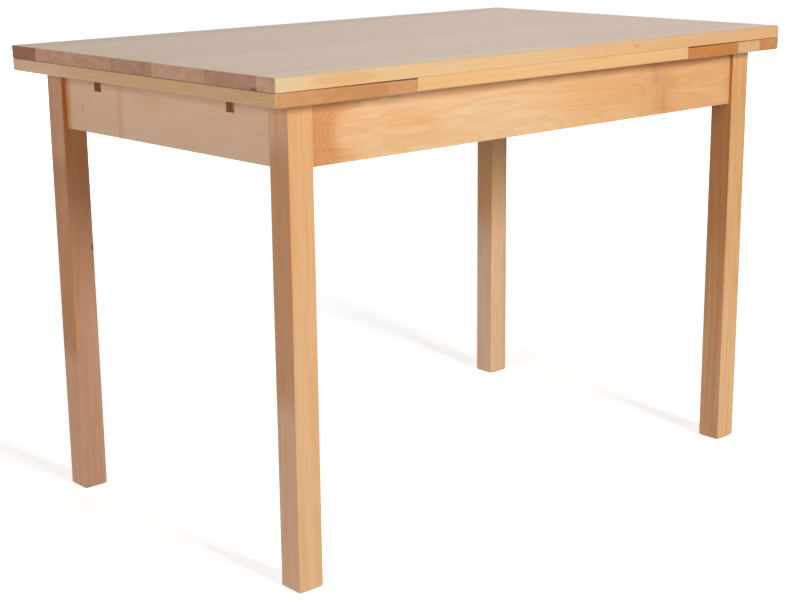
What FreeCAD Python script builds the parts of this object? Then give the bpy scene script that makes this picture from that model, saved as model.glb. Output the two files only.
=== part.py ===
import FreeCAD, Part
import math
import os

from FreeCAD import Vector

# Draw leaf table. Millimetres, +Z up, the floor at Z = 0.
# The origin is on the floor under the middle of the top, with X along the table.

# Boards
LENGTH = 1110.0
WIDTH = 690.0
HEIGHT = 750.0
TOP_T = 20.4
LEAF_T = 20.1
CENTRE_T = 19.8
CENTRE_LENGTH = 606.0
LEAF_GAP = 0.6  # air between a closed leaf's outer end and the top
LEAF_DIP = 1.5  # a leaf is planed down towards its inner edge, to pass under the top
LEAF_JOINT = 0.3  # between a leaf's inner edge and the centre board
BOARD_EASE = 2.5
TOP_UNDER_EASE = 0.6  # a small chamfer on the top's lower edges
LEAF_UPPER_EASE = 0.8  # and on a leaf's upper edges
PULL_EASE = 5.0  # a leaf's lower outer edge, where a hand pulls it
JOINT_EASE = 0.3  # chamfer at the joint between leaf and centre board

# Legs
LEG_SIDE = 43.0
END_OVERHANG = 43.0  # from the top's end to the leg's face
SIDE_OVERHANG = 31.0  # from the top's long edge to the leg's face
LEG_EASE = 1.5
FOOT_CHAMFER = 3.0

# Aprons
APRON_T = 22.0
APRON_H = 91.0
END_APRON_INSET = 8.0  # behind the leg's face
LONG_APRON_INSET = 6.5
APRON_EASE = 1.2
TENON_T = 10.0
TENON_LENGTH = 18.0
TENON_SHOULDER = 12.0  # above and below the tenon
MORTISE_CLEARANCE = 0.2

# Draw mechanism
PAST_TOP = 1.2  # a drawn leaf's inner edge past the end of the top
BEARER_W = 18.0
BEARER_DEPTH = 24.2  # below the leaf, where the closed bearer crosses the end apron
BEARER_RECESS = 10.0  # of the bearer's end behind the apron's face
TAIL_PAST_PIN = 27.0  # of the bearer behind its stop pin
BEARER_TO_BLOCK = 2.5  # between a left bearer and the corner block
BEARER_STAGGER = 34.0  # of the right bearers inside the left ones
SIDE_PLAY = 1.0  # beside a bearer in its notches
SLIDE_PLAY = 0.3  # under a bearer
HOLD_DOWN_PLAY = 0.4  # between a bearer's tail and the centre board
LEAF_SEAT_PLAY = 0.3  # between a closed leaf and the frame

# Guide rails
RAIL_T = 22.0
RAIL_H = 71.0
RAIL_SETBACK = 43.0  # from the centre board's end to the rail
RAIL_TENON_T = 10.0
RAIL_TENON_LENGTH = 9.0

# Stop pins
PIN_R = 3.5
PIN_PROUD = 7.0  # on each side of the bearer
PIN_CLEARANCE = 0.1
STOP_PLAY = 0.3

# Locating dowels
DOWEL_R = 8.0
DOWEL_EDGE = 125.0  # from the top's long edge
DOWEL_IN_TOP = 14.6
DOWEL_IN_BOARD = 18.0
DOWEL_PLAY = 0.6
DOWEL_HEADROOM = 0.3
DOWEL_CHAMFER = 1.0

# Corner blocks
BLOCK_REACH = 100.0  # along each apron
BLOCK_T = 26.0
BLOCK_H = 60.0
BLOCK_DROP = 14.0  # below the apron's upper edge

# Screws, sunk in the wood out of sight, so they are kept to eight flats
SCREW_FLATS = 8
SCREW_R = 2.2
SCREW_HEAD_R = 4.2
SCREW_HEAD_H = 2.6
SCREW_CLEARANCE = 0.1
LEAF_SCREW_L = 35.0
LEAF_SCREW_BITE = 14.0  # into the leaf
LEAF_SCREW_MARGIN = 22.0  # from either end of the bearer's seat
LEAF_SCREWS = 3
BOARD_SCREW_L = 60.0
BOARD_SCREW_BITE = 13.0
BOARD_SCREW_Y = 60.0
BLOCK_SCREW_L = 26.0
BLOCK_SCREW_BITE = 14.0

# Levels
top_under = HEIGHT - TOP_T
leaf_upper = top_under - LEAF_GAP
leaf_under = leaf_upper - LEAF_T
centre_under = top_under - CENTRE_T
frame_upper = leaf_under - LEAF_SEAT_PLAY
apron_under = frame_upper - APRON_H
rail_under = centre_under - RAIL_H

# Plan, measured outwards from the middle of the table
leg_x = LENGTH / 2 - END_OVERHANG
leg_y = WIDTH / 2 - SIDE_OVERHANG
apron_face_x = leg_x - END_APRON_INSET
apron_face_y = leg_y - LONG_APRON_INSET
apron_back_x = apron_face_x - APRON_T
apron_back_y = apron_face_y - APRON_T
leg_inner_x = leg_x - LEG_SIDE
leg_inner_y = leg_y - LEG_SIDE
centre_end = CENTRE_LENGTH / 2
leaf_inner = centre_end + LEAF_JOINT
rail_outer = centre_end - RAIL_SETBACK
rail_inner = rail_outer - RAIL_T
block_foot = BLOCK_T * math.sqrt(2)  # a corner block's width along the apron
dowel_y = WIDTH / 2 - DOWEL_EDGE
left_bearer_y = apron_back_y - BLOCK_REACH - BEARER_TO_BLOCK - BEARER_W / 2
right_bearer_y = left_bearer_y - BEARER_STAGGER

# The draw: a leaf climbs on its tapered bearers until it is level with the top
draw = LENGTH / 2 - leaf_inner + PAST_TOP
rise = TOP_T + LEAF_GAP
slope = rise / draw
bearer_end = apron_face_x - BEARER_RECESS
pin_s = rail_inner - PIN_R - STOP_PLAY - draw
tail_end = pin_s - TAIL_PAST_PIN

SIDES = {"left": -1, "right": 1}
ENDS = {"front": -1, "back": 1}
BEARER_Y = {"left": left_bearer_y, "right": right_bearer_y}


def box(x0, x1, y0, y1, z0, z1):
    low = Vector(min(x0, x1), min(y0, y1), min(z0, z1))
    return Part.makeBox(abs(x1 - x0), abs(y1 - y0), abs(z1 - z0), low)


def cylinder(radius, start, end):
    axis = end - start
    return Part.makeCylinder(radius, axis.Length, start, axis)


def profile_bar(side, profile, y0, y1):
    points = [Vector(SIDES[side] * s, y0, z) for s, z in profile]
    return Part.Face(Part.makePolygon(points + points[:1])).extrude(Vector(0, y1 - y0, 0))


def edges_along(shape, direction, keep):
    found = []
    for edge in shape.Edges:
        run = edge.Vertexes[-1].Point - edge.Vertexes[0].Point
        if abs(run.normalize().dot(direction)) > 0.999 and keep(edge.CenterOfMass):
            found.append(edge)
    return found


def flat_sided_bar(radius, start, end):
    turn = FreeCAD.Rotation(Vector(0, 0, 1), end - start)
    ring = []
    for i in range(SCREW_FLATS):
        angle = 2 * math.pi * (i + 0.5) / SCREW_FLATS
        ring.append(start + turn.multVec(Vector(math.cos(angle), math.sin(angle), 0)) * radius)
    return Part.Face(Part.makePolygon(ring + ring[:1])).extrude(end - start)


def screw(head, tip):
    neck = head + (tip - head).normalize() * SCREW_HEAD_H
    return flat_sided_bar(SCREW_HEAD_R, head, neck).fuse(flat_sided_bar(SCREW_R, neck, tip))


def screw_bore(head, tip):
    return flat_sided_bar(SCREW_R + SCREW_CLEARANCE, head, tip)


def counterbore(head, mouth, tip):
    neck = head + (tip - head).normalize() * SCREW_HEAD_H
    sink = flat_sided_bar(SCREW_HEAD_R + SCREW_CLEARANCE, mouth, neck)
    return sink.fuse(screw_bore(neck, tip))


def bearer_underside(s):
    return leaf_under - BEARER_DEPTH + slope * (s - apron_back_x)


def tail_upper(s):
    return centre_under - HOLD_DOWN_PLAY + slope * (s - centre_end)


def bearer_offsets(side):
    return [ENDS[end] * BEARER_Y[side] for end in ENDS]


def leaf_screw_places():
    first = leaf_inner + LEAF_SCREW_MARGIN
    last = bearer_end - LEAF_SCREW_MARGIN
    step = (last - first) / (LEAF_SCREWS - 1)
    return [first + step * i for i in range(LEAF_SCREWS)]


def leaf_screw_ends(side, y, s):
    tip = Vector(SIDES[side] * s, y, leaf_under + LEAF_SCREW_BITE)
    return tip - Vector(0, 0, LEAF_SCREW_L), tip


def board_screw_ends(side):
    x = SIDES[side] * (rail_outer + rail_inner) / 2
    for y in (-BOARD_SCREW_Y, 0, BOARD_SCREW_Y):
        tip = Vector(x, y, centre_under + BOARD_SCREW_BITE)
        yield tip - Vector(0, 0, BOARD_SCREW_L), tip


def block_screw_ends(side, end):
    sx, sy = SIDES[side], ENDS[end]
    inset = BLOCK_REACH - block_foot / 2
    shank = BLOCK_SCREW_L - BLOCK_SCREW_BITE
    z = frame_upper - BLOCK_DROP - BLOCK_H / 2
    at_end = Vector(sx * apron_back_x, sy * (apron_back_y - inset), z)
    into_end = Vector(sx, 0, 0)
    yield at_end - into_end * shank, at_end + into_end * BLOCK_SCREW_BITE
    at_side = Vector(sx * (apron_back_x - inset), sy * apron_back_y, z)
    into_side = Vector(0, sy, 0)
    yield at_side - into_side * shank, at_side + into_side * BLOCK_SCREW_BITE


def table_top():
    board = box(-LENGTH / 2, LENGTH / 2, -WIDTH / 2, WIDTH / 2, top_under, HEIGHT)
    board = board.makeFillet(BOARD_EASE, [e for e in board.Edges if e.CenterOfMass.z > top_under])
    lower = [e for e in board.Edges if e.CenterOfMass.z < top_under + TOP_UNDER_EASE / 2]
    board = board.makeChamfer(TOP_UNDER_EASE, lower)
    reach = DOWEL_IN_TOP + DOWEL_HEADROOM
    for y in (-dowel_y, dowel_y):
        mouth = Vector(0, y, top_under)
        board = board.cut(cylinder(DOWEL_R + DOWEL_PLAY, mouth, mouth + Vector(0, 0, reach)))
    return board


def locating_dowels():
    pegs = []
    for y in (-dowel_y, dowel_y):
        low = Vector(0, y, top_under - DOWEL_IN_BOARD)
        high = Vector(0, y, top_under + DOWEL_IN_TOP)
        peg = cylinder(DOWEL_R, low, high)
        rims = [e for e in peg.Edges if e.Closed]
        pegs.append(peg.makeChamfer(DOWEL_CHAMFER, rims))
    return Part.makeCompound(pegs)


def centre_board():
    board = box(-centre_end, centre_end, -WIDTH / 2, WIDTH / 2, centre_under, top_under)
    lower = edges_along(board, Vector(1, 0, 0), lambda c: c.z < top_under - CENTRE_T / 2)
    board = board.makeFillet(BOARD_EASE, lower)
    upper = edges_along(board, Vector(1, 0, 0), lambda c: c.z > top_under - JOINT_EASE)
    board = board.makeChamfer(JOINT_EASE, upper)
    for y in (-dowel_y, dowel_y):
        low = Vector(0, y, centre_under)
        board = board.cut(cylinder(DOWEL_R + DOWEL_PLAY, low, low + Vector(0, 0, CENTRE_T)))
    for side in SIDES:
        for head, tip in board_screw_ends(side):
            board = board.cut(screw_bore(head, tip))
    return board


def leaf(side):
    outer = LENGTH / 2
    inner_upper = leaf_upper - LEAF_DIP
    profile = [(leaf_inner, leaf_under), (outer, leaf_under), (outer, leaf_upper), (leaf_inner, inner_upper)]
    board = profile_bar(side, profile, -WIDTH / 2, WIDTH / 2)
    inner_edges = edges_along(board, Vector(0, 1, 0), lambda c: abs(c.x) < leaf_inner + JOINT_EASE)
    board = board.makeChamfer(JOINT_EASE, inner_edges)
    half = (leaf_inner + outer) / 2
    pull = edges_along(board, Vector(0, 1, 0), lambda c: abs(c.x) > half and c.z < leaf_upper - LEAF_T / 2)
    board = board.makeFillet(PULL_EASE, pull)
    shown = edges_along(board, Vector(1, 0, 0), lambda c: c.z < leaf_upper - LEAF_T / 2)
    shown += edges_along(board, Vector(0, 0, 1), lambda c: abs(c.x) > half)
    board = board.makeFillet(BOARD_EASE, shown)
    rim = [e for e in board.Edges if e.CenterOfMass.z > inner_upper - JOINT_EASE / 4]
    rim = [e for e in rim if abs(e.CenterOfMass.x) > leaf_inner + 2 * JOINT_EASE]
    board = board.makeChamfer(LEAF_UPPER_EASE, rim)
    for y in bearer_offsets(side):
        for s in leaf_screw_places():
            board = board.cut(screw_bore(*leaf_screw_ends(side, y, s)))
    return board


def pin_place(side):
    z = (tail_upper(pin_s) + bearer_underside(pin_s)) / 2
    return SIDES[side] * pin_s, z


def bearer(side, y):
    profile = [
        (bearer_end, leaf_under),
        (leaf_inner, leaf_under),
        (leaf_inner, tail_upper(leaf_inner)),
        (tail_end, tail_upper(tail_end)),
        (tail_end, bearer_underside(tail_end)),
        (bearer_end, bearer_underside(bearer_end)),
    ]
    bar = profile_bar(side, profile, y - BEARER_W / 2, y + BEARER_W / 2)
    for s in leaf_screw_places():
        head, tip = leaf_screw_ends(side, y, s)
        mouth = Vector(head.x, head.y, bearer_underside(s - 2 * SCREW_HEAD_R))
        bar = bar.cut(counterbore(head, mouth, tip))
    x, z = pin_place(side)
    near = Vector(x, y - BEARER_W / 2, z)
    return bar.cut(cylinder(PIN_R + PIN_CLEARANCE, near, near + Vector(0, BEARER_W, 0)))


def bearer_screws(side):
    places = [(y, s) for y in bearer_offsets(side) for s in leaf_screw_places()]
    return Part.makeCompound([screw(*leaf_screw_ends(side, y, s)) for y, s in places])


def stop_pins(side):
    x, z = pin_place(side)
    half = BEARER_W / 2 + PIN_PROUD
    pins = []
    for y in bearer_offsets(side):
        pins.append(cylinder(PIN_R, Vector(x, y - half, z), Vector(x, y + half, z)))
    return Part.makeCompound(pins)


def leg(side, end):
    sx, sy = SIDES[side], ENDS[end]
    post = box(sx * leg_inner_x, sx * leg_x, sy * leg_inner_y, sy * leg_y, 0, frame_upper)
    foot = [e for e in post.Edges if e.CenterOfMass.z < FOOT_CHAMFER]
    post = post.makeChamfer(FOOT_CHAMFER, foot)
    corners = edges_along(post, Vector(0, 0, 1), lambda c: True)
    post = post.makeFillet(LEG_EASE, corners)
    for tenon in (long_apron_tenon(side, end), end_apron_tenon(side, end)):
        post = post.cut(tenon)
    return post


def tenon_levels(play):
    low = apron_under + TENON_SHOULDER - play
    high = frame_upper - TENON_SHOULDER + play
    return low, high


def long_apron_tenon(side, end, play=MORTISE_CLEARANCE):
    sx, sy = SIDES[side], ENDS[end]
    middle = apron_face_y - APRON_T / 2
    half = TENON_T / 2 + play
    reach = leg_inner_x + TENON_LENGTH + play
    low, high = tenon_levels(play)
    return box(sx * leg_inner_x, sx * reach, sy * (middle - half), sy * (middle + half), low, high)


def end_apron_tenon(side, end, play=MORTISE_CLEARANCE):
    sx, sy = SIDES[side], ENDS[end]
    middle = apron_face_x - APRON_T / 2
    half = TENON_T / 2 + play
    reach = leg_inner_y + TENON_LENGTH + play
    low, high = tenon_levels(play)
    return box(sx * (middle - half), sx * (middle + half), sy * leg_inner_y, sy * reach, low, high)


def rail_tenon(side, end, play=0.0):
    sx, sy = SIDES[side], ENDS[end]
    middle = (rail_outer + rail_inner) / 2
    half = RAIL_TENON_T / 2 + play
    reach = apron_back_y + RAIL_TENON_LENGTH + play
    low = rail_under + TENON_SHOULDER - play
    high = frame_upper - TENON_SHOULDER + play
    return box(sx * (middle - half), sx * (middle + half), sy * apron_back_y, sy * reach, low, high)


def ease_lower_edges(board, direction):
    lower = edges_along(board, direction, lambda c: c.z < apron_under + APRON_EASE)
    return board.makeFillet(APRON_EASE, lower)


def cut_block_screws(board):
    for side in SIDES:
        for end in ENDS:
            for head, tip in block_screw_ends(side, end):
                board = board.cut(screw_bore(head, tip))
    return board


def long_apron(end):
    sy = ENDS[end]
    board = box(-leg_inner_x, leg_inner_x, sy * apron_back_y, sy * apron_face_y, apron_under, frame_upper)
    board = ease_lower_edges(board, Vector(1, 0, 0))
    for side in SIDES:
        board = board.fuse(long_apron_tenon(side, end, 0.0))
        board = board.cut(rail_tenon(side, end, MORTISE_CLEARANCE))
    return cut_block_screws(board.removeSplitter())


def end_apron(side):
    sx = SIDES[side]
    board = box(sx * apron_back_x, sx * apron_face_x, -leg_inner_y, leg_inner_y, apron_under, frame_upper)
    board = ease_lower_edges(board, Vector(0, 1, 0))
    for end in ENDS:
        board = board.fuse(end_apron_tenon(side, end, 0.0))
    board = board.removeSplitter()
    floor = bearer_underside(apron_back_x) - SLIDE_PLAY
    half = BEARER_W / 2 + SIDE_PLAY
    for y in bearer_offsets(side):
        notch = box(sx * apron_back_x, sx * apron_face_x, y - half, y + half, floor, frame_upper)
        board = board.cut(notch)
    return cut_block_screws(board)


def guide_rail(side):
    sx = SIDES[side]
    rail = box(sx * rail_inner, sx * rail_outer, -apron_back_y, apron_back_y, rail_under, centre_under)
    for end in ENDS:
        rail = rail.fuse(rail_tenon(side, end))
    rail = rail.removeSplitter()
    floor = bearer_underside(rail_inner) - SLIDE_PLAY
    half = BEARER_W / 2 + SIDE_PLAY
    for y in bearer_offsets(side):
        notch = box(sx * rail_inner, sx * rail_outer, y - half, y + half, floor, centre_under)
        rail = rail.cut(notch)
    for head, tip in board_screw_ends(side):
        mouth = Vector(head.x, head.y, rail_under)
        rail = rail.cut(counterbore(head, mouth, tip))
    return rail


def centre_board_screws():
    ends = [pair for side in SIDES for pair in board_screw_ends(side)]
    return Part.makeCompound([screw(head, tip) for head, tip in ends])


def corner_block(side, end):
    sx, sy = SIDES[side], ENDS[end]
    near = BLOCK_REACH - block_foot
    plan = [(near, 0), (BLOCK_REACH, 0), (0, BLOCK_REACH), (0, near)]
    z = frame_upper - BLOCK_DROP - BLOCK_H
    points = [Vector(sx * (apron_back_x - u), sy * (apron_back_y - v), z) for u, v in plan]
    brace = Part.Face(Part.makePolygon(points + points[:1])).extrude(Vector(0, 0, BLOCK_H))
    for head, tip in block_screw_ends(side, end):
        inward = (head - tip).normalize()
        brace = brace.cut(counterbore(head, head + inward * BLOCK_T, tip))
    return brace


def corner_block_screws():
    ends = [pair for side in SIDES for end in ENDS for pair in block_screw_ends(side, end)]
    return Part.makeCompound([screw(head, tip) for head, tip in ends])


def build():
    nodes = {
        "table_top": table_top(),
        "locating_dowels": locating_dowels(),
        "centre_board": centre_board(),
        "centre_board_screws": centre_board_screws(),
        "corner_block_screws": corner_block_screws(),
    }
    for side in SIDES:
        nodes[side + "_leaf"] = leaf(side)
        nodes[side + "_bearer_screws"] = bearer_screws(side)
        nodes[side + "_stop_pins"] = stop_pins(side)
        nodes[side + "_end_apron"] = end_apron(side)
        nodes[side + "_guide_rail"] = guide_rail(side)
        for end in ENDS:
            nodes[f"{side}_{end}_bearer"] = bearer(side, ENDS[end] * BEARER_Y[side])
            nodes[f"leg_{end}_{side}"] = leg(side, end)
            nodes[f"corner_block_{end}_{side}"] = corner_block(side, end)
    for end in ENDS:
        nodes[end + "_apron"] = long_apron(end)
    return nodes


os.makedirs("parts", exist_ok=True)
for name, shape in build().items():
    shape.exportStep(f"parts/{name}.step")
print(f"draw {draw:.2f} mm, rise {rise:.2f} mm, slope {slope:.5f}")
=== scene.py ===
import math

import bpy
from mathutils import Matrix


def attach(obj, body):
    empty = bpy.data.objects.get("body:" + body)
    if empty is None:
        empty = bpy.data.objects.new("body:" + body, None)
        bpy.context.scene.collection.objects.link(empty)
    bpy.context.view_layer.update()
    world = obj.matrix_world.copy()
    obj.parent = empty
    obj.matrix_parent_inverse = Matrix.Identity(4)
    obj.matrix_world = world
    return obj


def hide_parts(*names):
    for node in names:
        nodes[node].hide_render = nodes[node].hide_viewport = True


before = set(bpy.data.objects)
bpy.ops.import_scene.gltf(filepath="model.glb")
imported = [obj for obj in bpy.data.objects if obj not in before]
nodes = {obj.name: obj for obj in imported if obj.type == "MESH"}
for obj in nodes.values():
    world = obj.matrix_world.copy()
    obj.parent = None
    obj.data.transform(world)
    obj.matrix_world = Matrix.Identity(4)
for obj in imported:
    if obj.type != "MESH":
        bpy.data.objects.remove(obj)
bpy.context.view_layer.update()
print("frame loaded:", len(nodes), "nodes")


# camera, fitted to the table's corners, edges and feet

cameraSetup = {
    "place": (-1.8411, -2.0122, 0.9851),
    "turn": (1.3218, 0.0101, -0.7325),
    "lens": 73.37,
    "sensor": 36,
}


def addCamera(setup):
    camera = bpy.data.objects.new("camera", bpy.data.cameras.new("camera"))
    bpy.context.scene.collection.objects.link(camera)
    camera.location = setup["place"]
    camera.rotation_euler = setup["turn"]
    camera.data.lens = setup["lens"]
    camera.data.sensor_width = setup["sensor"]
    bpy.context.scene.camera = camera


addCamera(cameraSetup)
bpy.context.scene.view_settings.view_transform = "Standard"
print("camera set")


# small helpers for the node trees

def addNode(tree, kind, at, **settings):
    node = tree.nodes.new("ShaderNode" + kind)
    node.location = at
    for key, value in settings.items():
        setattr(node, key, value)
    return node


def feed(tree, socket, value):
    # a link where value is another node's output, otherwise a plain number, vector or colour
    if isinstance(value, bpy.types.NodeSocket):
        tree.links.new(value, socket)
    else:
        socket.default_value = value


def calc(tree, operation, at, *values):
    node = addNode(tree, "Math", at, operation=operation)
    for socket, value in zip(node.inputs, values):
        feed(tree, socket, value)
    return node.outputs[0]


def vectorCalc(tree, operation, at, *values):
    node = addNode(tree, "VectorMath", at, operation=operation)
    for socket, value in zip(node.inputs, values):
        feed(tree, socket, value)
    return node.outputs["Value" if operation == "LENGTH" else "Vector"]


def vectorOf(tree, at, *values):
    node = addNode(tree, "CombineXYZ", at)
    for socket, value in zip(node.inputs, values):
        feed(tree, socket, value)
    return node.outputs[0]


def remap(tree, at, value, low, high, first=0.0, last=1.0, curve="LINEAR"):
    node = addNode(tree, "MapRange", at, interpolation_type=curve)
    for socket, number in zip(node.inputs, (value, low, high, first, last)):
        feed(tree, socket, number)
    return node.outputs[0]


def tint(tree, at, amount, colour, wash, blend="MULTIPLY"):
    node = addNode(tree, "Mix", at, data_type="RGBA", blend_type=blend)
    for socket, value in zip((node.inputs[0], node.inputs[6], node.inputs[7]), (amount, colour, wash)):
        feed(tree, socket, value)
    return node.outputs[2]


def noise(tree, at, vector, scale, detail, roughness):
    node = addNode(tree, "TexNoise", at)
    feed(tree, node.inputs["Vector"], vectorCalc(tree, "MULTIPLY", (at[0] - 180, at[1]), vector, scale))
    node.inputs["Scale"].default_value = 1.0
    node.inputs["Detail"].default_value = detail
    node.inputs["Roughness"].default_value = roughness
    return node.outputs[0]


lineStops = ((0.1, 0.0), (0.86, 1.0))  # place between two lines, and how dark it is there


def softLines(tree, at, phase):
    # a line that darkens slowly and ends soon, each time phase passes a whole number
    part = calc(tree, "FRACT", at, phase)
    ramp = addNode(tree, "ValToRGB", (at[0] + 180, at[1]))
    ramp.color_ramp.interpolation = "EASE"
    for stop, (spot, dark) in zip(ramp.color_ramp.elements, lineStops):
        stop.position = spot
        stop.color = (dark, dark, dark, 1)
    ramp.color_ramp.elements.new(1.0).color = (0, 0, 0, 1)
    feed(tree, ramp.inputs[0], part)
    return ramp.outputs[0]


# oiled hardwood: staves, growth rings on the end grain, figure on the faces, fibres and ray flecks
# a Band holds the values between which a pattern grows from nothing to full

woodBase = {
    "endBand": (0.55, 0.9),
    "fibre": (7, 260, 260), "fibreBand": (0.32, 0.70), "fibreDepth": 0.22, "fibreWash": (0.86, 0.76, 0.64, 1),
    "fleck": (120, 1300, 1300), "fleckBand": (0.60, 0.74), "fleckDepth": 0.30,
    "fleckWash": (0.68, 0.53, 0.40, 1),
    "cloud": (2.2, 15, 15), "cloudBand": (0.34, 0.68), "cloudDepth": 0.40, "cloudWash": (0.93, 0.81, 0.68, 1),
    "figure": (3.2, 30, 30), "figureLines": 6, "figureDepth": 0.28, "figureWash": (0.92, 0.78, 0.62, 1),
    "ring": 0.0040, "ringDepth": 0.34, "ringWash": (0.86, 0.72, 0.56, 1), "heartDepth": (0.03, 0.12),
    "sway": 0.010, "swayScale": (8, 40, 40), "endWash": (0.80, 0.70, 0.62, 1),
    "blotchScale": (60, 45, 90), "blotchBand": (0.42, 0.66),
    "rough": 0.38, "endRough": 0.54, "fibreRough": 0.09, "coat": 0.0, "coatRough": 0.3,
    "fibreRelief": -0.5, "fleckRelief": -0.5, "ringRelief": -0.6,
    "bumpStrength": 0.25, "bumpDistance": 0.0002, "marks": [],
}


def grainSpace(tree, look):
    # X along the grain, Y across the staves and Z through the board, from the board's middle
    along, across = look["along"], look["across"]
    place = addNode(tree, "TexCoord", (-2600, 0))
    local = vectorCalc(tree, "SUBTRACT", (-2400, 0), place.outputs["Object"], look["middle"])
    split = addNode(tree, "SeparateXYZ", (-2220, 0))
    feed(tree, split.inputs[0], local)
    facing = addNode(tree, "SeparateXYZ", (-2220, 260))
    feed(tree, facing.inputs[0], place.outputs["Normal"])
    turned = calc(tree, "ABSOLUTE", (-2040, 260), facing.outputs[along])
    axes = [split.outputs[axis] for axis in (along, across, 3 - along - across)]
    return local, axes, remap(tree, (-1860, 260), turned, *look["endBand"])


def staveTones(tree, look, across):
    # each stop is a stave's start, its tone, and in alpha the place of its heart across the board
    low, high = look["span"]
    ramp = addNode(tree, "ValToRGB", (-1700, -220))
    ramp.color_ramp.interpolation = "CONSTANT"
    stops = ramp.color_ramp.elements
    for i, (start, tone, heart) in enumerate(look["staves"]):
        spot = (start - low) / (high - low)
        stop = stops[i] if i < 2 else stops.new(spot)
        stop.position = spot
        stop.color = (*tone, heart + 0.5)
    feed(tree, ramp.inputs[0], remap(tree, (-1880, -220), across, low, high))
    heart = calc(tree, "SUBTRACT", (-1400, -400), ramp.outputs["Alpha"], 0.5)
    return ramp.outputs["Color"], heart


def endRings(tree, look, axes, heart, luck, grain):
    v, w = axes[1:]
    depth = remap(tree, (-980, -520), luck, 0, 1, *look["heartDepth"])
    waver = noise(tree, (-980, -700), grain, look["swayScale"], 2, 0.5)
    sway = calc(tree, "MULTIPLY", (-800, -700), waver, look["sway"])
    side = calc(tree, "SUBTRACT", (-800, -400), v, heart)
    under = calc(tree, "ADD", (-800, -520), w, depth)
    out = vectorCalc(tree, "LENGTH", (-440, -460), vectorOf(tree, (-620, -460), 0.0, side, under))
    radius = calc(tree, "ADD", (-260, -460), out, sway)
    return softLines(tree, (100, -460), calc(tree, "DIVIDE", (-80, -460), radius, look["ring"]))


def archRings(tree, arch, axes, grain):
    # rings cut through near the heart of the log: arcs on one side of it that run out along the board
    u, v = axes[:2]
    ahead = calc(tree, "SUBTRACT", (-1160, -900), u, arch["heart"][0])
    ahead = calc(tree, "MINIMUM", (-980, -900), ahead, 0.0)
    ahead = calc(tree, "MULTIPLY", (-800, -900), ahead, arch["squash"])
    side = calc(tree, "SUBTRACT", (-800, -1040), v, arch["heart"][1])
    out = vectorCalc(tree, "LENGTH", (-440, -900), vectorOf(tree, (-620, -900), ahead, side, 0.0))
    waver = noise(tree, (-620, -1200), grain, arch["swayScale"], 3, 0.55)
    sway = calc(tree, "MULTIPLY", (-440, -1040), waver, arch["sway"])
    radius = calc(tree, "ADD", (-260, -900), out, sway)
    lines = softLines(tree, (100, -900), calc(tree, "DIVIDE", (-80, -900), radius, arch["ring"]))
    late = remap(tree, (100, -1200), radius, *arch["zone"], 0.0, 1.0, "SMOOTHSTEP")
    lineDepth = remap(tree, (380, -1040), u, *arch["fade"], arch["depth"], 0.0)
    lateDepth = remap(tree, (380, -1360), u, *arch["fade"], 1.0, 0.0)
    return (calc(tree, "MULTIPLY", (560, -900), lines, lineDepth),
            calc(tree, "MULTIPLY", (560, -1200), late, lateDepth))


def addMarks(tree, look, local, colour):
    # knots, joints, patches of another tone, and patches of painted shade and light: place, reach, how far in
    # it is even, and the wash
    for i, (spot, reach, even, wash) in enumerate(look["marks"]):
        x, y = 1500 + 180 * i, 500 + 200 * i
        off = vectorCalc(tree, "SUBTRACT", (x - 540, y), local, spot)
        away = vectorCalc(tree, "LENGTH", (x - 180, y), vectorCalc(tree, "DIVIDE", (x - 360, y), off, reach))
        amount = remap(tree, (x, y), away, 1.0, even, 0.0, 1.0, "SMOOTHSTEP")
        colour = tint(tree, (x + 180, 0), amount, colour, (*wash, 1))
    return colour


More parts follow.
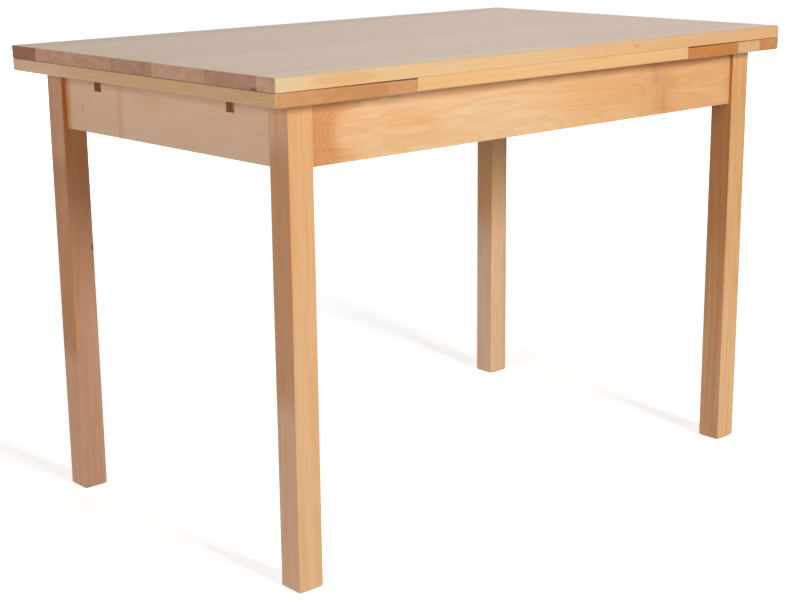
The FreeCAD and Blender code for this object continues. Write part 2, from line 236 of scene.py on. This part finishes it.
def woodFinish(name, board):
    look = dict(woodBase, **board)
    material = bpy.data.materials.new(name)
    material.use_nodes = True
    tree = material.node_tree
    shader = tree.nodes["Principled BSDF"]
    local, axes, endGrain = grainSpace(tree, look)
    u, v, w = axes
    colour, heart = staveTones(tree, look, u if look.get("jointed") else v)
    chance = addNode(tree, "TexWhiteNoise", (-1400, -220), noise_dimensions="3D")
    feed(tree, chance.inputs["Vector"], colour)
    grain = vectorOf(tree, (-1400, 160), u, v, w)
    grain = vectorCalc(tree, "ADD", (-1220, 160), grain, chance.outputs["Color"])

    if "tone" in look:  # a board's faces are more even in tone than its end grain
        shown = remap(tree, (-300, 1060), endGrain, 0, 1, look["staveShow"], 1.0)
        colour = tint(tree, (-120, 0), shown, look["tone"], colour, "MIX")
    # darker towards one end along the grain; on the legs this is painted shade, darker towards the top under
    # the table
    if "drift" in look:
        colour = tint(tree, (60, 0), remap(tree, (-120, 860), u, *look["drift"]), colour, look["driftWash"])

    cloud = noise(tree, (-620, 640), grain, look["cloud"], 3, 0.55)
    cloud = remap(tree, (-440, 640), cloud, *look["cloudBand"])
    cloud = calc(tree, "MULTIPLY", (60, 640), cloud, look["cloudDepth"])
    colour = tint(tree, (240, 0), cloud, colour, look["cloudWash"])

    swirl = noise(tree, (-620, 860), grain, look["figure"], 1, 0.4)
    figure = softLines(tree, (-260, 860), calc(tree, "MULTIPLY", (-440, 860), swirl, look["figureLines"]))
    onFace = remap(tree, (240, 1060), endGrain, 0, 1, look["figureDepth"], 0.0)
    figure = calc(tree, "MULTIPLY", (240, 860), figure, onFace)
    colour = tint(tree, (420, 0), figure, colour, look["figureWash"])

    rings = endRings(tree, look, axes, heart, chance.outputs["Value"], grain)
    rings = calc(tree, "MULTIPLY", (560, -460), rings, endGrain)
    rings = calc(tree, "MULTIPLY", (740, -460), rings, look["ringDepth"])
    if "arch" in look:
        arcs, late = archRings(tree, look["arch"], axes, grain)
        rings = calc(tree, "ADD", (920, -460), rings, arcs)
        colour = tint(tree, (520, 0), late, colour, look["arch"]["wash"])
    colour = tint(tree, (600, 0), rings, colour, look["ringWash"])

    fibre = noise(tree, (-620, 200), grain, look["fibre"], 5, 0.62)
    fibre = remap(tree, (-440, 200), fibre, *look["fibreBand"])
    fibreShown = calc(tree, "MULTIPLY", (600, 200), fibre, look["fibreDepth"])
    colour = tint(tree, (780, 0), fibreShown, colour, look["fibreWash"])
    fleck = noise(tree, (-620, 420), grain, look["fleck"], 1, 0.5)
    fleck = remap(tree, (-440, 420), fleck, *look["fleckBand"])
    fleckShown = calc(tree, "MULTIPLY", (780, 420), fleck, look["fleckDepth"])
    colour = tint(tree, (960, 0), fleckShown, colour, look["fleckWash"])
    colour = tint(tree, (1140, 0), endGrain, colour, look["endWash"])
    if "blotch" in look:  # end grain drinks oil unevenly
        patch = noise(tree, (600, 640), grain, look["blotchScale"], 3, 0.6)
        patch = remap(tree, (780, 640), patch, *look["blotchBand"])
        patch = calc(tree, "MULTIPLY", (960, 640), patch, endGrain)
        colour = tint(tree, (1320, 0), patch, colour, look["blotch"])
    feed(tree, shader.inputs["Base Color"], addMarks(tree, look, local, colour))

    smoothest = look["rough"] - look["fibreRough"] / 2
    worn = calc(tree, "MULTIPLY_ADD", (1700, -200), fibre, look["fibreRough"], smoothest)
    worn = calc(tree, "MULTIPLY_ADD", (1880, -200), endGrain, look["endRough"] - look["rough"], worn)
    feed(tree, shader.inputs["Roughness"], worn)
    shader.inputs["Coat Weight"].default_value = look["coat"]
    shader.inputs["Coat Roughness"].default_value = look["coatRough"]
    relief = calc(tree, "MULTIPLY_ADD", (1520, -420), fibre, look["fibreRelief"], 1.0)
    relief = calc(tree, "MULTIPLY_ADD", (1700, -420), fleck, look["fleckRelief"], relief)
    relief = calc(tree, "MULTIPLY_ADD", (1880, -420), rings, look["ringRelief"], relief)
    bump = addNode(tree, "Bump", (2060, -420))
    bump.inputs["Strength"].default_value = look["bumpStrength"]
    bump.inputs["Distance"].default_value = look["bumpDistance"]
    feed(tree, bump.inputs["Height"], relief)
    feed(tree, shader.inputs["Normal"], bump.outputs[0])
    shader.location = (3400, 0)
    tree.nodes["Material Output"].location = (3700, 0)
    return material


def paint(names, material):
    for name in names:
        slots = nodes[name].material_slots
        if slots:
            for slot in slots:
                slot.material = material
        else:
            nodes[name].data.materials.append(material)


topBoard = {
    "along": 0, "across": 1, "middle": (0, 0, 0.7398), "span": (-0.36, 0.36),
    "endWash": (0.78, 0.72, 0.97, 1), "blotch": (0.81, 0.75, 0.77, 1), "rough": 0.32, "coat": 0.25,
    "figure": (1.6, 26, 26), "figureDepth": 0.22,
    "drift": (-0.45, 0.5), "driftWash": (0.94, 0.81, 0.70, 1),
    "staveShow": 0.25, "tone": (0.775, 0.52, 0.264, 1),
    "marks": [  # a dark spot at the lower edge of the left end, a knot in the front edge, and lighter and darker patches
        ((-0.555, -0.298, -0.009), (0.006, 0.011, 0.005), 0.3, (0.42, 0.28, 0.26)),
        ((0.171, -0.345, 0.001), (0.014, 0.006, 0.007), 0.0, (0.95, 0.84, 0.74)),
        ((0.173, -0.345, 0.002), (0.004, 0.004, 0.003), 0.1, (0.84, 0.66, 0.52)),
        ((-0.43, -0.345, 0.0), (0.085, 0.006, 0.014), 0.3, (0.93, 0.84, 0.74)),
        ((-0.545, -0.345, 0.0), (0.065, 0.008, 0.03), 0.2, (0.96, 1.10, 1.25)),
        ((-0.555, 0.18, 0.0), (0.006, 0.022, 0.02), 0.2, (1.06, 1.09, 1.11)),
        ((-0.555, 0.03, 0.0), (0.006, 0.024, 0.012), 0.2, (1.06, 1.09, 1.11)),
        ((-0.555, 0.235, 0.003), (0.006, 0.014, 0.006), 0.1, (0.98, 0.84, 0.78)),
        ((-0.555, -0.145, 0.005), (0.006, 0.012, 0.005), 0.1, (1.0, 0.88, 0.84)),
    ],
    "staves": [
        (-0.36, (1.0, 0.69, 0.34), -0.33), (-0.306, (0.76, 0.44, 0.215), -0.21),
        (-0.187, (0.965, 0.64, 0.315), -0.15), (-0.0586, (0.73, 0.42, 0.185), 0.03),
        (0.048, (0.86, 0.53, 0.235), 0.12), (0.160, (0.87, 0.53, 0.235), 0.19),
        (0.268, (0.42, 0.14, 0.022), 0.33),
    ],
}
leftLeafBoard = {
    "along": 1, "across": 0, "middle": (-0.4292, 0, 0.719), "span": (-0.13, 0.13),
    "endWash": (0.78, 0.685, 0.575, 1), "blotch": (0.93, 0.86, 0.80, 1), "ringDepth": 0.26,
    "marks": [((-0.125, 0.27, 0.0), (0.02, 0.11, 0.05), 0.4, (1.06, 1.16, 1.40))],
    "tone": (0.85, 0.515, 0.265, 1), "staveShow": 0.5,
    "staves": [
        (-0.13, (0.84, 0.50, 0.25), -0.40), (-0.0497, (0.79, 0.44, 0.205), -0.35),
        (0.0153, (0.75, 0.41, 0.19), 0.48), (0.0703, (0.82, 0.50, 0.29), 0.10),
    ],
}
rightLeafBoard = {
    "along": 1, "across": 0, "middle": (0.4292, 0, 0.719), "span": (-0.13, 0.13),
    "endWash": (0.78, 0.68, 0.59, 1), "blotch": (0.93, 0.84, 0.76, 1), "ringDepth": 0.26,
    "tone": (0.81, 0.46, 0.21, 1), "staveShow": 0.4,
    "staves": [
        (-0.13, (0.75, 0.34, 0.085), -0.45), (-0.0543, (0.72, 0.325, 0.088), 0.40),
        (0.0097, (0.96, 0.70, 0.40), -0.42), (0.0707, (0.77, 0.40, 0.165), 0.45),
    ],
}
centreBoard = {
    "along": 0, "across": 1, "middle": (0, 0, 0.7197), "span": (-0.36, 0.36), "figure": (1.6, 26, 26),
    "staves": [
        (-0.36, (0.85, 0.53, 0.235), -0.30), (-0.23, (0.80, 0.47, 0.21), -0.17),
        (-0.11, (0.84, 0.50, 0.23), -0.05), (0.02, (0.78, 0.45, 0.20), 0.08),
        (0.14, (0.83, 0.49, 0.22), 0.20), (0.25, (0.80, 0.47, 0.21), 0.30),
    ],
}

# the front apron is three lengths, finger jointed; the left one is cut across the heart
frontApronBoard = {
    "along": 0, "across": 2, "middle": (0, -0.2965, 0.6631), "span": (-0.5, 0.5), "jointed": True,
    "figure": (5.5, 30, 30), "figureDepth": 0.40, "cloud": (3.5, 46, 46), "cloudDepth": 0.62,
    "fleckDepth": 0.18, "fibre": (5, 170, 170), "fibreDepth": 0.44,
    "arch": {
        "heart": (-0.397, -0.002), "squash": 0.85, "ring": 0.0068, "sway": 0.012, "swayScale": (24, 40, 40),
        "fade": (-0.43, -0.365), "depth": 0.42, "zone": (0.016, 0.044), "wash": (0.82, 0.60, 0.41, 1),
    },
    "marks": [
        ((-0.282, -0.011, 0.003), (0.070, 1.0, 0.016), 0.5, (0.97, 0.90, 0.80)),
        ((-0.169, -0.011, 0.003), (0.080, 1.0, 0.009), 0.1, (1.03, 1.10, 1.17)),
        ((-0.236, -0.011, -0.024), (0.120, 1.0, 0.011), 0.2, (0.97, 0.87, 0.75)),
        # painted shade: the next three marks darken and warm a band along the apron's top, under the overhang
        # of the leaves and centre board
        ((0.27, -0.011, 0.046), (0.32, 1.0, 0.020), 0.4, (0.91, 0.81, 0.66)),
        ((0.38, -0.011, 0.047), (0.18, 1.0, 0.024), 0.4, (0.88, 0.72, 0.47)),
        ((-0.03, -0.011, 0.046), (0.42, 1.0, 0.022), 0.5, (0.95, 0.91, 0.87)),
        ((0.15, -0.011, 0.0), (0.19, 1.0, 0.2), 0.3, (0.955, 0.865, 0.72)),
        ((0.268, -0.011, 0.0), (0.075, 1.0, 0.2), 0.3, (0.93, 0.89, 0.81)),
        ((0.271, -0.011, 0.030), (0.023, 1.0, 0.038), 0.3, (0.91, 0.80, 0.77)),
        ((0.279, -0.011, -0.024), (0.026, 1.0, 0.046), 0.1, (0.92, 0.83, 0.77)),
    ],
    "staves": [
        (-0.5, (0.88, 0.58, 0.32), 0.005), (-0.342, (0.865, 0.585, 0.325), -0.09),
        (0.282, (0.80, 0.46, 0.205), 0.09),
    ],
}
backApronBoard = {
    "along": 0, "across": 2, "middle": (0, 0.2965, 0.6631), "span": (-0.5, 0.5), "jointed": True,
    "figureDepth": 0.4, "cloudDepth": 0.45,
    "staves": [(-0.5, (0.84, 0.51, 0.24), 0.01), (-0.1, (0.87, 0.54, 0.27), -0.02)],
}
leftApronBoard = {
    "along": 1, "across": 2, "middle": (-0.493, 0, 0.6631), "span": (-0.3, 0.3), "jointed": True,
    "figureDepth": 0.16, "cloud": (5, 20, 20), "cloudDepth": 0.45, "cloudWash": (0.96, 0.85, 0.74, 1),
    "marks": [
        ((-0.011, 0.221, -0.006), (0.004, 0.006, 0.004), 0.1, (0.80, 0.68, 0.62)),
        ((-0.011, 0.112, 0.0), (1.0, 0.014, 0.2), 0.1, (0.91, 0.83, 0.79)),
        # painted shade: a dark strip at the back end, beside the back-left leg
        ((-0.011, 0.270, 0.0), (1.0, 0.018, 0.2), 0.0, (0.80, 0.62, 0.50)),
        ((-0.011, 0.03, 0.022), (0.02, 0.08, 0.03), 0.0, (0.98, 0.92, 0.85)),
        ((-0.011, -0.215, -0.005), (0.02, 0.06, 0.035), 0.0, (1.02, 1.03, 1.06)),
        # painted shade: a darker, warmer band along the top, under the leaf
        ((-0.011, 0.13, 0.042), (0.02, 0.16, 0.020), 0.3, (0.94, 0.90, 0.83)),
        # painted light: the next two marks lighten and grey the walls and floor inside the two notches around
        # the bearers' ends
        ((0.003, -0.174, 0.04), (0.0125, 0.020, 0.02), 0.6, (1.25, 1.16, 1.1)),
        ((0.003, 0.174, 0.04), (0.0125, 0.020, 0.02), 0.6, (1.25, 1.16, 1.1)),
    ],
    "staves": [(-0.3, (0.88, 0.60, 0.40), -0.01), (0.112, (0.86, 0.575, 0.37), 0.02)],
}
rightApronBoard = {
    "along": 1, "across": 2, "middle": (0.493, 0, 0.6631), "span": (-0.3, 0.3), "jointed": True,
    "staves": [(-0.3, (0.85, 0.52, 0.255), 0.02), (0.05, (0.87, 0.54, 0.28), -0.01)],
}

# legs: laminated, the grain upright, with a skin of another tone on the left face
legForm = {
    "middle": (0.4905, 0.2925, 0.3543), "half": 0.0215, "leftSkin": 0.0009, "frontSkin": 0.001,
    "staveStart": -0.025, "staveJoint": -0.0213, "leftHeart": -0.02,
}
legBoard = {
    "along": 2, "across": 0, "span": (-0.025, 0.025), "figure": (3.5, 42, 42), "figureDepth": 0.30,
    "fibre": (5, 190, 190), "fibreDepth": 0.42, "fleckDepth": 0.2, "cloud": (3, 55, 55), "cloudDepth": 0.5,
    # painted shade: the drift darkens the legs towards the top, where the table above shades them
    "drift": (-0.33, 0.25), "driftWash": (0.93, 0.84, 0.74, 1),
}


def legStaves(leftTone, frontTone, frontHeart=0.03):
    return [(legForm["staveStart"], leftTone, legForm["leftHeart"]),
            (legForm["staveJoint"], frontTone, frontHeart)]


def onLeft(height, reach, even, wash):
    # a patch that covers the left face alone, from edge to edge
    return (-legForm["half"], 0.0, height), (legForm["leftSkin"], 1.0, reach), even, wash


def onFront(height, reach, even, wash):
    # the same on the front face
    return (0.0, -legForm["half"], height), (1.0, legForm["frontSkin"], reach), even, wash


# painted shade: the washes on the legs' upper parts, and the front-right leg's stronger drift, stand for the
# shade of the top, leaves and aprons above; the knot at the edge is the wood's own
legLooks = {
    "leg_front_left": {
        "staves": legStaves((0.87, 0.55, 0.345), (0.85, 0.54, 0.285)),
        "marks": [onLeft(0.11, 0.21, 0.75, (0.83, 0.70, 0.53)), onLeft(0.30, 0.05, 0.4, (0.97, 1.02, 1.15))],
    },
    "leg_back_left": {
        "staves": legStaves((0.77, 0.43, 0.23), (0.78, 0.465, 0.305), 0.02),
        "marks": [
            onLeft(0.045, 0.19, 0.75, (0.80, 0.61, 0.33)), onLeft(0.26, 0.13, 0.5, (0.88, 0.88, 0.89)),
            onFront(0.26, 0.16, 0.35, (0.97, 0.71, 0.36)), onFront(0.08, 0.11, 0.3, (1.05, 0.97, 0.83)),
            ((0.0200, -0.0215, 0.062), (0.0045, 0.008, 0.009), 0.3, (0.28, 0.17, 0.15)),  # a knot at the edge
        ],
    },
    "leg_front_right": {
        "staves": legStaves((0.775, 0.445, 0.228), (0.885, 0.555, 0.27)),
        "drift": (-0.25, 0.05), "driftWash": (0.85, 0.76, 0.60, 1),
        "figure": (1.6, 46, 46), "figureDepth": 0.5, "figureWash": (0.85, 0.71, 0.55, 1),
        "marks": [onLeft(0.19, 0.22, 0.5, (0.90, 0.78, 0.60))],
    },
    "leg_back_right": {
        "staves": legStaves((0.97, 0.69, 0.50), (0.96, 0.65, 0.39)),
        "marks": [onLeft(0.16, 0.26, 0.5, (0.83, 0.68, 0.42)), onFront(0.14, 0.15, 0.3, (0.92, 0.85, 0.70))],
    },
}

# inside pieces, planed and unfinished
insideBoard = {"fibreDepth": 0.35, "rough": 0.60, "endRough": 0.7}
bearerBoard = dict(
    insideBoard, along=0, across=1, middle=(0, 0, 0.67), span=(-0.2, 0.2), endWash=(0.78, 0.72, 0.86, 1),
    staves=[(-0.2, (0.86, 0.55, 0.30), -0.17), (0.0, (0.84, 0.52, 0.28), 0.17)])
railBoard = dict(
    insideBoard, along=1, across=2, middle=(0.249, 0, 0.675), span=(-0.04, 0.04),
    staves=[(-0.04, (0.76, 0.46, 0.22), 0.0), (0.039, (0.76, 0.46, 0.22), 0.0)])
blockBoard = dict(
    insideBoard, along=2, across=0, middle=(0, 0, 0.66), span=(-0.5, 0.5),
    staves=[(-0.5, (0.76, 0.48, 0.24), -0.38), (0.0, (0.78, 0.49, 0.24), 0.38)])
pegBoard = dict(
    insideBoard, along=2, across=1, middle=(0, 0, 0.73), span=(-0.25, 0.25),
    staves=[(-0.25, (0.80, 0.52, 0.28), -0.22), (0.0, (0.78, 0.50, 0.26), 0.22)])


def finishBoards():
    paint(["table_top"], woodFinish("topBoard", topBoard))
    paint(["left_leaf"], woodFinish("leftLeafBoard", leftLeafBoard))
    paint(["right_leaf"], woodFinish("rightLeafBoard", rightLeafBoard))
    paint(["centre_board"], woodFinish("centreBoard", centreBoard))
    paint(["front_apron"], woodFinish("frontApronBoard", frontApronBoard))
    paint(["back_apron"], woodFinish("backApronBoard", backApronBoard))
    paint(["left_end_apron"], woodFinish("leftApronBoard", leftApronBoard))
    paint(["right_end_apron"], woodFinish("rightApronBoard", rightApronBoard))
    x, y, z = legForm["middle"]
    for name, own in legLooks.items():
        middle = (-x if name.endswith("left") else x, -y if "front" in name else y, z)
        paint([name], woodFinish(name, dict(legBoard, middle=middle, **own)))
    for side in ("left", "right"):
        paint([f"{side}_front_bearer", f"{side}_back_bearer"], woodFinish(f"{side}Bearer", bearerBoard))
        paint([f"{side}_guide_rail"], woodFinish(f"{side}Rail", railBoard))
    blocks = [name for name in nodes if name.startswith("corner_block") and not name.endswith("screws")]
    paint(blocks, woodFinish("cornerBlock", blockBoard))
    paint(["locating_dowels", "left_stop_pins", "right_stop_pins"], woodFinish("turnedPeg", pegBoard))


finishBoards()
print("boards finished")


# zinc plate

zincLook = {
    "patch": (900, 900, 900), "patchBand": (0.3, 0.7), "rough": (0.28, 0.45),
    "tone": (0.62, 0.61, 0.57, 1), "wash": (0.78, 0.74, 0.62, 1),
}


def zincFinish(look):
    material = bpy.data.materials.new("zincPlate")
    material.use_nodes = True
    tree = material.node_tree
    shader = tree.nodes["Principled BSDF"]
    shader.inputs["Metallic"].default_value = 1.0
    place = addNode(tree, "TexCoord", (-900, 0))
    patch = noise(tree, (-600, 0), place.outputs["Object"], look["patch"], 3, 0.6)
    feed(tree, shader.inputs["Base Color"], tint(tree, (-300, 0), patch, look["tone"], look["wash"]))
    rough = remap(tree, (-300, -200), patch, *look["patchBand"], *look["rough"])
    feed(tree, shader.inputs["Roughness"], rough)
    return material


# cross-headed wood screws: one is modelled for each set, and copies of it go into the bores

screwLook = {
    "sides": 20, "headRadius": 0.0039, "headHeight": 0.0026, "rim": 0.0008, "rimSteps": 3, "flat": 0.9,
    "shankRadius": 0.0021, "rootRadius": 0.0015, "smooth": 0.4, "pitch": 0.0024, "point": 0.0045, "tip": 0.15,
    "crossLong": 0.0048, "crossWide": 0.0009, "crossDeep": 0.0015, "shadeAngle": math.radians(35),
}
corners = [(x, y) for x in (-1, 1) for y in (-1, 1)]
screwSets = {
    "left_bearer_screws": {
        "body": "left_leaf", "length": 0.035,
        "heads": [((x, y, 0.6879), "up") for x in (-0.472, -0.39865, -0.3253) for y in (-0.174, 0.174)],
    },
    "right_bearer_screws": {
        "body": "right_leaf", "length": 0.035,
        "heads": [((x, y, 0.6879), "up") for x in (0.472, 0.39865, 0.3253) for y in (-0.14, 0.14)],
    },
    "centre_board_screws": {
        "body": "frame", "length": 0.060,
        "heads": [((x, y, 0.6628), "up") for x in (-0.249, 0.249) for y in (-0.06, 0.0, 0.06)],
    },
    "corner_block_screws": {
        "body": "frame", "length": 0.026,
        "heads": [((x * 0.470, y * 0.2039, 0.6646), "right" if x > 0 else "left") for x, y in corners]
        + [((x * 0.4004, y * 0.2735, 0.6646), "back" if y > 0 else "front") for x, y in corners],
    },
}
screwTurns = {
    "up": (0, 0, 0), "right": (0, math.pi / 2, 0), "left": (0, -math.pi / 2, 0),
    "back": (-math.pi / 2, 0, 0), "front": (math.pi / 2, 0, 0),
}


def pickFaces(piece, wanted):
    # leaves only the wanted faces selected, and edit mode on
    bpy.ops.object.mode_set(mode="EDIT")
    bpy.ops.mesh.select_mode(type="FACE")
    bpy.ops.mesh.select_all(action="DESELECT")
    bpy.ops.object.mode_set(mode="OBJECT")
    for face in piece.data.polygons:
        face.select = wanted(face)
    bpy.ops.object.mode_set(mode="EDIT")


def drawOut(length, shrink):
    # one more stretch of the shank, with its end narrowed or widened
    bpy.ops.mesh.extrude_region_move(TRANSFORM_OT_translate={"value": (0, 0, length)})
    bpy.ops.transform.resize(value=(shrink, shrink, 1), center_override=(0, 0, 0))


def cutCross(screw, look):
    for turn in (0, math.pi / 2):
        bpy.ops.object.select_all(action="DESELECT")
        bpy.ops.mesh.primitive_cube_add(size=1, location=(0, 0, 0), rotation=(0, 0, turn))
        cutter = bpy.context.object
        cutter.scale = (look["crossLong"], look["crossWide"], 2 * look["crossDeep"])
        bpy.context.view_layer.objects.active = screw
        cut = screw.modifiers.new("cross", "BOOLEAN")
        cut.operation = "DIFFERENCE"
        cut.solver = "EXACT"
        cut.object = cutter
        bpy.ops.object.modifier_apply(modifier=cut.name)
        bpy.data.objects.remove(cutter)


def modelScrew(look, length):
    bpy.ops.object.select_all(action="DESELECT")
    high = look["headHeight"]
    bpy.ops.mesh.primitive_cylinder_add(vertices=look["sides"], radius=look["headRadius"], depth=high,
                                        location=(0, 0, high / 2))
    screw = bpy.context.object
    bpy.ops.object.transform_apply(location=True, rotation=True, scale=True)
    pickFaces(screw, lambda face: face.normal.z < -look["flat"])
    bpy.ops.mesh.bevel(offset=look["rim"], segments=look["rimSteps"], affect="EDGES")
    pickFaces(screw, lambda face: face.normal.z > look["flat"])
    bpy.ops.mesh.inset(thickness=look["headRadius"] - look["shankRadius"])
    plain = (length - high) * look["smooth"]
    drawOut(plain, 1.0)
    narrow = look["rootRadius"] / look["shankRadius"]
    turns = int((length - high - plain - look["point"]) / look["pitch"])
    drawOut(length - high - plain - look["point"] - turns * look["pitch"], narrow)
    for _ in range(turns):  # ridges of the thread
        drawOut(look["pitch"] / 2, 1 / narrow)
        drawOut(look["pitch"] / 2, narrow)
    drawOut(look["point"], look["tip"])
    bpy.ops.object.mode_set(mode="OBJECT")
    cutCross(screw, look)
    return screw


def driveScrews(node, setup, material):
    screw = modelScrew(screwLook, setup["length"])
    copies = []
    for place, way in setup["heads"]:
        copy = screw.copy()
        copy.data = screw.data.copy()
        bpy.context.scene.collection.objects.link(copy)
        copy.location = place
        copy.rotation_euler = screwTurns[way]
        copies.append(copy)
    bpy.data.objects.remove(screw)
    bpy.ops.object.select_all(action="DESELECT")
    for copy in copies:
        copy.select_set(True)
    piece = copies[0]
    bpy.context.view_layer.objects.active = piece
    bpy.ops.object.join()
    bpy.ops.object.transform_apply(location=True, rotation=True, scale=True)
    bpy.ops.object.shade_smooth_by_angle(angle=screwLook["shadeAngle"])
    piece.name = node.replace("_screws", "_wood_screws")
    piece.data.materials.clear()
    piece.data.materials.append(material)
    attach(piece, setup["body"])
    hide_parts(node)


zinc = zincFinish(zincLook)
for node, setup in screwSets.items():
    driveScrews(node, setup, zinc)
print("screws driven")


# studio: pale floor, white surround, a tall window in front, a wide one on the left and a soft one behind

studio = {
    "surround": (1.0, 0.86, 0.68, 1), "surroundStrength": 0.05, "dimBand": (0.0, 0.35), "dim": 0.24,
    "floorSize": 60, "floorHeight": -0.0005, "floorGrey": 0.45, "floorPale": 0.9,
    "liftBand": (1.0, 3.2), "floorLift": (0.66, 1.0),
}
windows = {
    "frontWindow": {"place": (-0.22, -4.4, 2.15), "aim": (-0.1, 0, 0.6), "size": (1.0, 1.4), "power": 157},
    "leftWindow": {"place": (-8.0, -1.0, 2.6), "aim": (0, 0, 0.5), "size": (5.0, 3.0), "power": 254},
    "farWindow": {"place": (4.5, 6.5, 1.9), "aim": (0, 0, 0.5), "size": (5.0, 2.6), "power": 260},
}


def seenDirect(tree, at):
    # 1 for what the camera sees, also through gloss and glass
    path = addNode(tree, "LightPath", at)
    seen = path.outputs["Is Camera Ray"]
    for i, kind in enumerate(("Is Glossy Ray", "Is Transmission Ray")):
        seen = calc(tree, "MAXIMUM", (at[0] + 200 + 180 * i, at[1]), seen, path.outputs[kind])
    return seen


def addSurround(setup):
    world = bpy.data.worlds.new("surround")
    world.use_nodes = True
    bpy.context.scene.world = world
    tree = world.node_tree
    glow = tree.nodes["Background"]
    glow.inputs["Color"].default_value = setup["surround"]
    glow.inputs["Strength"].default_value = setup["surroundStrength"]
    white = addNode(tree, "Background", (0, -200))
    white.inputs["Color"].default_value = (1, 1, 1, 1)
    # the surround that gloss shows is a little dimmer at the back and on the left
    path = addNode(tree, "LightPath", (-1000, -400))
    sky = addNode(tree, "TexCoord", (-1180, -200))
    way = addNode(tree, "SeparateXYZ", (-1000, -200))
    feed(tree, way.inputs[0], sky.outputs["Generated"])
    turn = calc(tree, "SUBTRACT", (-800, -200), way.outputs[1], way.outputs[0])
    dim = remap(tree, (-600, -200), turn, *setup["dimBand"], 0.0, setup["dim"])
    dim = calc(tree, "MULTIPLY", (-400, -200), path.outputs["Is Glossy Ray"], dim)
    feed(tree, white.inputs["Strength"], calc(tree, "SUBTRACT", (-200, -200), 1.0, dim))
    mix = addNode(tree, "MixShader", (220, 0))
    feed(tree, mix.inputs[0], seenDirect(tree, (-400, 260)))
    feed(tree, mix.inputs[1], glow.outputs[0])
    feed(tree, mix.inputs[2], white.outputs[0])
    feed(tree, tree.nodes["World Output"].inputs["Surface"], mix.outputs[0])


def addFloor(setup):
    bpy.ops.object.select_all(action="DESELECT")
    bpy.ops.mesh.primitive_plane_add(size=setup["floorSize"], location=(0, 0, setup["floorHeight"]))
    floor = bpy.context.object
    floor.name = "floor"
    material = bpy.data.materials.new("paleFloor")
    material.use_nodes = True
    tree = material.node_tree
    tree.nodes.remove(tree.nodes["Principled BSDF"])
    bounce = addNode(tree, "BsdfDiffuse", (-400, -200))
    grey, pale = setup["floorGrey"], setup["floorPale"]
    bounce.inputs["Color"].default_value = (grey, grey, grey, 1)
    shown = addNode(tree, "BsdfDiffuse", (-400, 0))
    shown.inputs["Color"].default_value = (pale, pale, pale, 1)
    lift = addNode(tree, "Emission", (-400, 160))
    ground = addNode(tree, "TexCoord", (-1000, 160))
    spread = vectorCalc(tree, "LENGTH", (-820, 160), ground.outputs["Object"])
    feed(tree, lift.inputs["Strength"],
         remap(tree, (-620, 160), spread, *setup["liftBand"], *setup["floorLift"]))
    both = addNode(tree, "AddShader", (-180, 80))
    feed(tree, both.inputs[0], lift.outputs[0])
    feed(tree, both.inputs[1], shown.outputs[0])
    mix = addNode(tree, "MixShader", (40, 0))
    feed(tree, mix.inputs[0], seenDirect(tree, (-800, 260)))
    feed(tree, mix.inputs[1], bounce.outputs[0])
    feed(tree, mix.inputs[2], both.outputs[0])
    feed(tree, tree.nodes["Material Output"].inputs["Surface"], mix.outputs[0])
    floor.data.materials.append(material)


def addPanel(name, place, aim, size, power):
    light = bpy.data.lights.new(name, "AREA")
    light.shape = "RECTANGLE"
    light.size, light.size_y = size
    light.energy = power
    panel = bpy.data.objects.new(name, light)
    bpy.context.scene.collection.objects.link(panel)
    panel.location = place
    dx, dy, dz = (a - b for a, b in zip(aim, place))
    panel.rotation_euler = (math.atan2(math.hypot(dx, dy), -dz), 0, math.atan2(-dx, dy))
    panel.visible_glossy = False


addSurround(studio)
addFloor(studio)
for name, window in windows.items():
    addPanel(name, **window)
print("studio lit")
